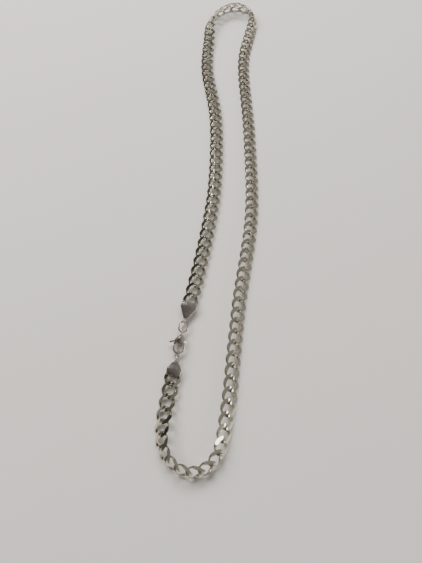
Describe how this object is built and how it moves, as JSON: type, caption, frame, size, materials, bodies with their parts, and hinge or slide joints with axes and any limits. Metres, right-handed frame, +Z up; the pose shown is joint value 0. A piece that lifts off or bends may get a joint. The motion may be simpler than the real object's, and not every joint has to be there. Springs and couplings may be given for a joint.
{
  "type": "chain necklace",
  "caption": "Fastened flat-cut curb chain necklace of polished silver-coloured links, with tapered terminals, jump ring, catch ring and lobster clasp, lying as a long narrow loop.",
  "frame": {"origin": "middle of the bounding box in plan, on the surface that the necklace lies on", "axes": "+Y along the loop, from the near bend by the clasp to the far bend; +X across it, from the strand with the clasp to the plain strand; +Z up, out of the surface"},
  "size_m": [0.0498, 0.2652, 0.0064],
  "materials": {
    "chain_silver": "polished sterling silver with light tarnish between the links",
    "hardware_silver": "polished sterling silver with fine wear scratches",
    "clasp_spring_metal": "drawn spring wire"
  },
  "bodies": {
    "near_bend": {"near_bend_links_1": "chain_silver", "near_bend_links_2": "chain_silver", "near_bend_links_3": "chain_silver"},
    "left_01": {"left_links_01": "chain_silver"},
    "right_01": {"right_links_01": "chain_silver"},
    "left_02": {"left_links_02": "chain_silver"},
    "right_02": {"right_links_02": "chain_silver"},
    "lower_terminal": {"lower_terminal": "hardware_silver", "lower_end_link": "chain_silver"},
    "right_03": {"right_links_03": "chain_silver"},
    "catch_ring": {"catch_ring": "hardware_silver"},
    "right_04": {"right_links_04": "chain_silver"},
    "clasp": {"clasp_body": "hardware_silver", "clasp_rivet": "hardware_silver", "clasp_spring": "clasp_spring_metal"},
    "right_05": {"right_links_05": "chain_silver"},
    "jump_ring": {"jump_ring": "hardware_silver"},
    "right_06": {"right_links_06": "chain_silver"},
    "upper_terminal": {"upper_terminal": "hardware_silver", "upper_end_link": "chain_silver"},
    "right_07": {"right_links_07": "chain_silver"},
    "left_08": {"left_links_08": "chain_silver"},
    "right_08": {"right_links_08": "chain_silver"},
    "left_09": {"left_links_09": "chain_silver"},
    "right_09": {"right_links_09": "chain_silver"},
    "left_10": {"left_links_10": "chain_silver"},
    "right_10": {"right_links_10": "chain_silver"},
    "left_11": {"left_links_11": "chain_silver"},
    "right_11": {"right_links_11": "chain_silver"},
    "left_12": {"left_links_12": "chain_silver"},
    "right_12": {"right_links_12": "chain_silver"},
    "left_13": {"left_links_13": "chain_silver"},
    "right_13": {"right_links_13": "chain_silver"},
    "left_14": {"left_links_14": "chain_silver"},
    "right_14": {"right_links_14": "chain_silver"},
    "left_15": {"left_links_15": "chain_silver"},
    "right_15": {"right_links_15": "chain_silver"},
    "left_16": {"left_links_16": "chain_silver"},
    "right_16": {"right_links_16": "chain_silver"},
    "left_17": {"left_links_17": "chain_silver"},
    "right_17": {"right_links_17": "chain_silver"},
    "left_18": {"left_links_18": "chain_silver"},
    "right_18": {"right_links_18": "chain_silver"},
    "left_19": {"left_links_19": "chain_silver"},
    "right_19": {"right_links_19": "chain_silver"},
    "left_20": {"left_links_20": "chain_silver"},
    "right_20": {"right_links_20": "chain_silver"},
    "left_21": {"left_links_21": "chain_silver"},
    "right_21": {"right_links_21": "chain_silver"},
    "left_22": {"left_links_22": "chain_silver"},
    "right_22": {"right_links_22": "chain_silver"},
    "left_23": {"left_links_23": "chain_silver"},
    "right_23": {"right_links_23": "chain_silver"},
    "left_24": {"far_bend_links_left": "chain_silver"},
    "right_24": {"far_bend_links_right": "chain_silver"},
    "trigger": {"clasp_trigger": "hardware_silver"}
  },
  "joints": [
    {"name": "left_fold_01", "type": "hinge", "parent": "near_bend", "child": "left_01", "pos_m": [-0.02197, -0.11759, 0.00222], "axis": [0.9974, -0.0721, 0.0065], "range_deg": [0, 12]},
    {"name": "right_fold_01", "type": "hinge", "parent": "near_bend", "child": "right_01", "pos_m": [0.00126, -0.11927, 0.00237], "axis": [0.9974, -0.0721, 0.0065], "range_deg": [0, 12]},
    {"name": "left_fold_02", "type": "hinge", "parent": "left_01", "child": "left_02", "pos_m": [-0.02084, -0.10808, 0.00129], "axis": [0.9964, -0.0798, 0.0269], "range_deg": [0, 12]},
    {"name": "right_fold_02", "type": "hinge", "parent": "right_01", "child": "right_02", "pos_m": [0.00301, -0.10999, 0.00194], "axis": [0.9964, -0.0798, 0.0269], "range_deg": [0, 12]},
    {"name": "left_fold_03", "type": "hinge", "parent": "left_02", "child": "lower_terminal", "pos_m": [-0.01896, -0.09866, 0.00107], "axis": [0.9965, -0.0781, 0.0299], "range_deg": [0, 12]},
    {"name": "right_fold_03", "type": "hinge", "parent": "right_02", "child": "right_03", "pos_m": [0.00447, -0.1005, 0.00178], "axis": [0.9965, -0.0781, 0.0299], "range_deg": [0, 12]},
    {"name": "left_fold_04", "type": "hinge", "parent": "lower_terminal", "child": "catch_ring", "pos_m": [-0.01716, -0.08811, 0.00155], "axis": [0.9922, -0.1244, 0.0086], "range_deg": [0, 12]},
    {"name": "right_fold_04", "type": "hinge", "parent": "right_03", "child": "right_04", "pos_m": [0.00555, -0.09096, 0.00175], "axis": [0.9922, -0.1244, 0.0086], "range_deg": [0, 12]},
    {"name": "left_fold_05", "type": "hinge", "parent": "catch_ring", "child": "clasp", "pos_m": [-0.01682, -0.08609, 0.00155], "axis": [1, -0.0044, 0.0078], "range_deg": [0, 12]},
    {"name": "right_fold_05", "type": "hinge", "parent": "right_04", "child": "right_05", "pos_m": [0.00611, -0.08619, 0.00173], "axis": [1, -0.0044, 0.0078], "range_deg": [0, 12]},
    {"name": "left_fold_06", "type": "hinge", "parent": "clasp", "child": "jump_ring", "pos_m": [-0.01524, -0.07703, 0.00155], "axis": [0.9998, 0.0163, 0.0063], "range_deg": [0, 12]},
    {"name": "right_fold_06", "type": "hinge", "parent": "right_05", "child": "right_06", "pos_m": [0.00727, -0.07666, 0.00169], "axis": [0.9998, 0.0163, 0.0063], "range_deg": [0, 12]},
    {"name": "left_fold_07", "type": "hinge", "parent": "jump_ring", "child": "upper_terminal", "pos_m": [-0.0143, -0.07242, 0.00155], "axis": [0.9997, 0.0235, 0.0056], "range_deg": [0, 12]},
    {"name": "right_fold_07", "type": "hinge", "parent": "right_06", "child": "right_07", "pos_m": [0.00787, -0.0719, 0.00167], "axis": [0.9997, 0.0235, 0.0056], "range_deg": [0, 12]},
    {"name": "left_fold_08", "type": "hinge", "parent": "upper_terminal", "child": "left_08", "pos_m": [-0.01134, -0.06038, 0.001], "axis": [0.9948, -0.0973, 0.0309], "range_deg": [0, 12]},
    {"name": "right_fold_08", "type": "hinge", "parent": "right_07", "child": "right_08", "pos_m": [0.00914, -0.06239, 0.00164], "axis": [0.9948, -0.0973, 0.0309], "range_deg": [0, 12]},
    {"name": "left_fold_09", "type": "hinge", "parent": "left_08", "child": "left_09", "pos_m": [-0.00928, -0.05101, 0.001], "axis": [0.995, -0.0951, 0.0316], "range_deg": [0, 12]},
    {"name": "right_fold_09", "type": "hinge", "parent": "right_08", "child": "right_09", "pos_m": [0.01075, -0.05292, 0.00163], "axis": [0.995, -0.0951, 0.0316], "range_deg": [0, 12]},
    {"name": "left_fold_10", "type": "hinge", "parent": "left_09", "child": "left_10", "pos_m": [-0.00735, -0.0416, 0.001], "axis": [0.9951, -0.0941, 0.0315], "range_deg": [0, 12]},
    {"name": "right_fold_10", "type": "hinge", "parent": "right_09", "child": "right_10", "pos_m": [0.01246, -0.04348, 0.00163], "axis": [0.9951, -0.0941, 0.0315], "range_deg": [0, 12]},
    {"name": "left_fold_11", "type": "hinge", "parent": "left_10", "child": "left_11", "pos_m": [-0.00473, -0.02744, 0.001], "axis": [0.9953, -0.093, 0.0288], "range_deg": [0, 12]},
    {"name": "right_fold_11", "type": "hinge", "parent": "right_10", "child": "right_11", "pos_m": [0.01478, -0.02927, 0.00156], "axis": [0.9953, -0.093, 0.0288], "range_deg": [0, 12]},
    {"name": "left_fold_12", "type": "hinge", "parent": "left_11", "child": "left_12", "pos_m": [-0.00322, -0.01796, 0.001], "axis": [0.9954, -0.0921, 0.0275], "range_deg": [0, 12]},
    {"name": "right_fold_12", "type": "hinge", "parent": "right_11", "child": "right_12", "pos_m": [0.0159, -0.01973, 0.00153], "axis": [0.9954, -0.0921, 0.0275], "range_deg": [0, 12]},
    {"name": "left_fold_13", "type": "hinge", "parent": "left_12", "child": "left_13", "pos_m": [-0.00192, -0.00845, 0.001], "axis": [0.9954, -0.0918, 0.0265], "range_deg": [0, 12]},
    {"name": "right_fold_13", "type": "hinge", "parent": "right_12", "child": "right_13", "pos_m": [0.01655, -0.01015, 0.00149], "axis": [0.9954, -0.0918, 0.0265], "range_deg": [0, 12]},
    {"name": "left_fold_14", "type": "hinge", "parent": "left_13", "child": "left_14", "pos_m": [-0.00112, 0.00111, 0.001], "axis": [0.9954, -0.0928, 0.0256], "range_deg": [0, 12]},
    {"name": "right_fold_14", "type": "hinge", "parent": "right_13", "child": "right_14", "pos_m": [0.01682, -0.00056, 0.00146], "axis": [0.9954, -0.0928, 0.0256], "range_deg": [0, 12]},
    {"name": "left_fold_15", "type": "hinge", "parent": "left_14", "child": "left_15", "pos_m": [-0.00065, 0.0107, 0.001], "axis": [0.9952, -0.0945, 0.0249], "range_deg": [0, 12]},
    {"name": "right_fold_15", "type": "hinge", "parent": "right_14", "child": "right_15", "pos_m": [0.01685, 0.00904, 0.00144], "axis": [0.9952, -0.0945, 0.0249], "range_deg": [0, 12]},
    {"name": "left_fold_16", "type": "hinge", "parent": "left_15", "child": "left_16", "pos_m": [-0.00029, 0.0251, 0.001], "axis": [0.995, -0.0966, 0.0234], "range_deg": [0, 12]},
    {"name": "right_fold_16", "type": "hinge", "parent": "right_15", "child": "right_16", "pos_m": [0.01677, 0.02344, 0.0014], "axis": [0.995, -0.0966, 0.0234], "range_deg": [0, 12]},
    {"name": "left_fold_17", "type": "hinge", "parent": "left_16", "child": "left_17", "pos_m": [-0.00034, 0.0347, 0.001], "axis": [0.9951, -0.0967, 0.0221], "range_deg": [0, 12]},
    {"name": "right_fold_17", "type": "hinge", "parent": "right_16", "child": "right_17", "pos_m": [0.01671, 0.03304, 0.00138], "axis": [0.9951, -0.0967, 0.0221], "range_deg": [0, 12]},
    {"name": "left_fold_18", "type": "hinge", "parent": "left_17", "child": "left_18", "pos_m": [-0.00083, 0.04428, 0.001], "axis": [0.9953, -0.0947, 0.0196], "range_deg": [0, 12]},
    {"name": "right_fold_18", "type": "hinge", "parent": "right_17", "child": "right_18", "pos_m": [0.01647, 0.04264, 0.00134], "axis": [0.9953, -0.0947, 0.0196], "range_deg": [0, 12]},
    {"name": "left_fold_19", "type": "hinge", "parent": "left_18", "child": "left_19", "pos_m": [-0.00194, 0.05382, 0.001], "axis": [0.996, -0.0883, 0.0154], "range_deg": [0, 12]},
    {"name": "right_fold_19", "type": "hinge", "parent": "right_18", "child": "right_19", "pos_m": [0.01601, 0.05223, 0.00128], "axis": [0.996, -0.0883, 0.0154], "range_deg": [0, 12]},
    {"name": "left_fold_20", "type": "hinge", "parent": "left_19", "child": "left_20", "pos_m": [-0.00342, 0.0633, 0.001], "axis": [0.9969, -0.078, 0.0122], "range_deg": [0, 12]},
    {"name": "right_fold_20", "type": "hinge", "parent": "right_19", "child": "right_20", "pos_m": [0.01558, 0.06182, 0.00123], "axis": [0.9969, -0.078, 0.0122], "range_deg": [0, 12]},
    {"name": "left_fold_21", "type": "hinge", "parent": "left_20", "child": "left_21", "pos_m": [-0.00482, 0.0728, 0.001], "axis": [0.9975, -0.0693, 0.0111], "range_deg": [0, 12]},
    {"name": "right_fold_21", "type": "hinge", "parent": "right_20", "child": "right_21", "pos_m": [0.01521, 0.07141, 0.00122], "axis": [0.9975, -0.0693, 0.0111], "range_deg": [0, 12]},
    {"name": "left_fold_22", "type": "hinge", "parent": "left_21", "child": "left_22", "pos_m": [-0.00528, 0.08717, 0.001], "axis": [0.9977, -0.0656, 0.0168], "range_deg": [0, 12]},
    {"name": "right_fold_22", "type": "hinge", "parent": "right_21", "child": "right_22", "pos_m": [0.01563, 0.0858, 0.00136], "axis": [0.9977, -0.0656, 0.0168], "range_deg": [0, 12]},
    {"name": "left_fold_23", "type": "hinge", "parent": "left_22", "child": "left_23", "pos_m": [-0.00464, 0.09675, 0.00107], "axis": [0.9975, -0.0679, 0.0214], "range_deg": [0, 12]},
    {"name": "right_fold_23", "type": "hinge", "parent": "right_22", "child": "right_23", "pos_m": [0.01717, 0.09527, 0.00153], "axis": [0.9975, -0.0679, 0.0214], "range_deg": [0, 12]},
    {"name": "left_fold_24", "type": "hinge", "parent": "left_23", "child": "left_24", "pos_m": [-0.00403, 0.10633, 0.00127], "axis": [0.9971, -0.0734, 0.0221], "range_deg": [0, 12]},
    {"name": "right_fold_24", "type": "hinge", "parent": "right_23", "child": "right_24", "pos_m": [0.01941, 0.1046, 0.00179], "axis": [0.9971, -0.0734, 0.0221], "range_deg": [0, 12]},
    {"name": "trigger_pull", "type": "hinge", "parent": "clasp", "child": "trigger", "pos_m": [-0.01712, -0.08026, 0.00155], "axis": [0, 0, 1], "range_deg": [0, 20], "stiffness_Nm_per_rad": 0.004, "springref_deg": -8.59}
  ],
  "couplings": [
    {"joint": "right_fold_01", "follows": "left_fold_01", "ratio": 1},
    {"joint": "right_fold_02", "follows": "left_fold_02", "ratio": 1},
    {"joint": "right_fold_03", "follows": "left_fold_03", "ratio": 1},
    {"joint": "right_fold_04", "follows": "left_fold_04", "ratio": 1},
    {"joint": "right_fold_05", "follows": "left_fold_05", "ratio": 1},
    {"joint": "right_fold_06", "follows": "left_fold_06", "ratio": 1},
    {"joint": "right_fold_07", "follows": "left_fold_07", "ratio": 1},
    {"joint": "right_fold_08", "follows": "left_fold_08", "ratio": 1},
    {"joint": "right_fold_09", "follows": "left_fold_09", "ratio": 1},
    {"joint": "right_fold_10", "follows": "left_fold_10", "ratio": 1},
    {"joint": "right_fold_11", "follows": "left_fold_11", "ratio": 1},
    {"joint": "right_fold_12", "follows": "left_fold_12", "ratio": 1},
    {"joint": "right_fold_13", "follows": "left_fold_13", "ratio": 1},
    {"joint": "right_fold_14", "follows": "left_fold_14", "ratio": 1},
    {"joint": "right_fold_15", "follows": "left_fold_15", "ratio": 1},
    {"joint": "right_fold_16", "follows": "left_fold_16", "ratio": 1},
    {"joint": "right_fold_17", "follows": "left_fold_17", "ratio": 1},
    {"joint": "right_fold_18", "follows": "left_fold_18", "ratio": 1},
    {"joint": "right_fold_19", "follows": "left_fold_19", "ratio": 1},
    {"joint": "right_fold_20", "follows": "left_fold_20", "ratio": 1},
    {"joint": "right_fold_21", "follows": "left_fold_21", "ratio": 1},
    {"joint": "right_fold_22", "follows": "left_fold_22", "ratio": 1},
    {"joint": "right_fold_23", "follows": "left_fold_23", "ratio": 1},
    {"joint": "right_fold_24", "follows": "left_fold_24", "ratio": 1}
  ]
}
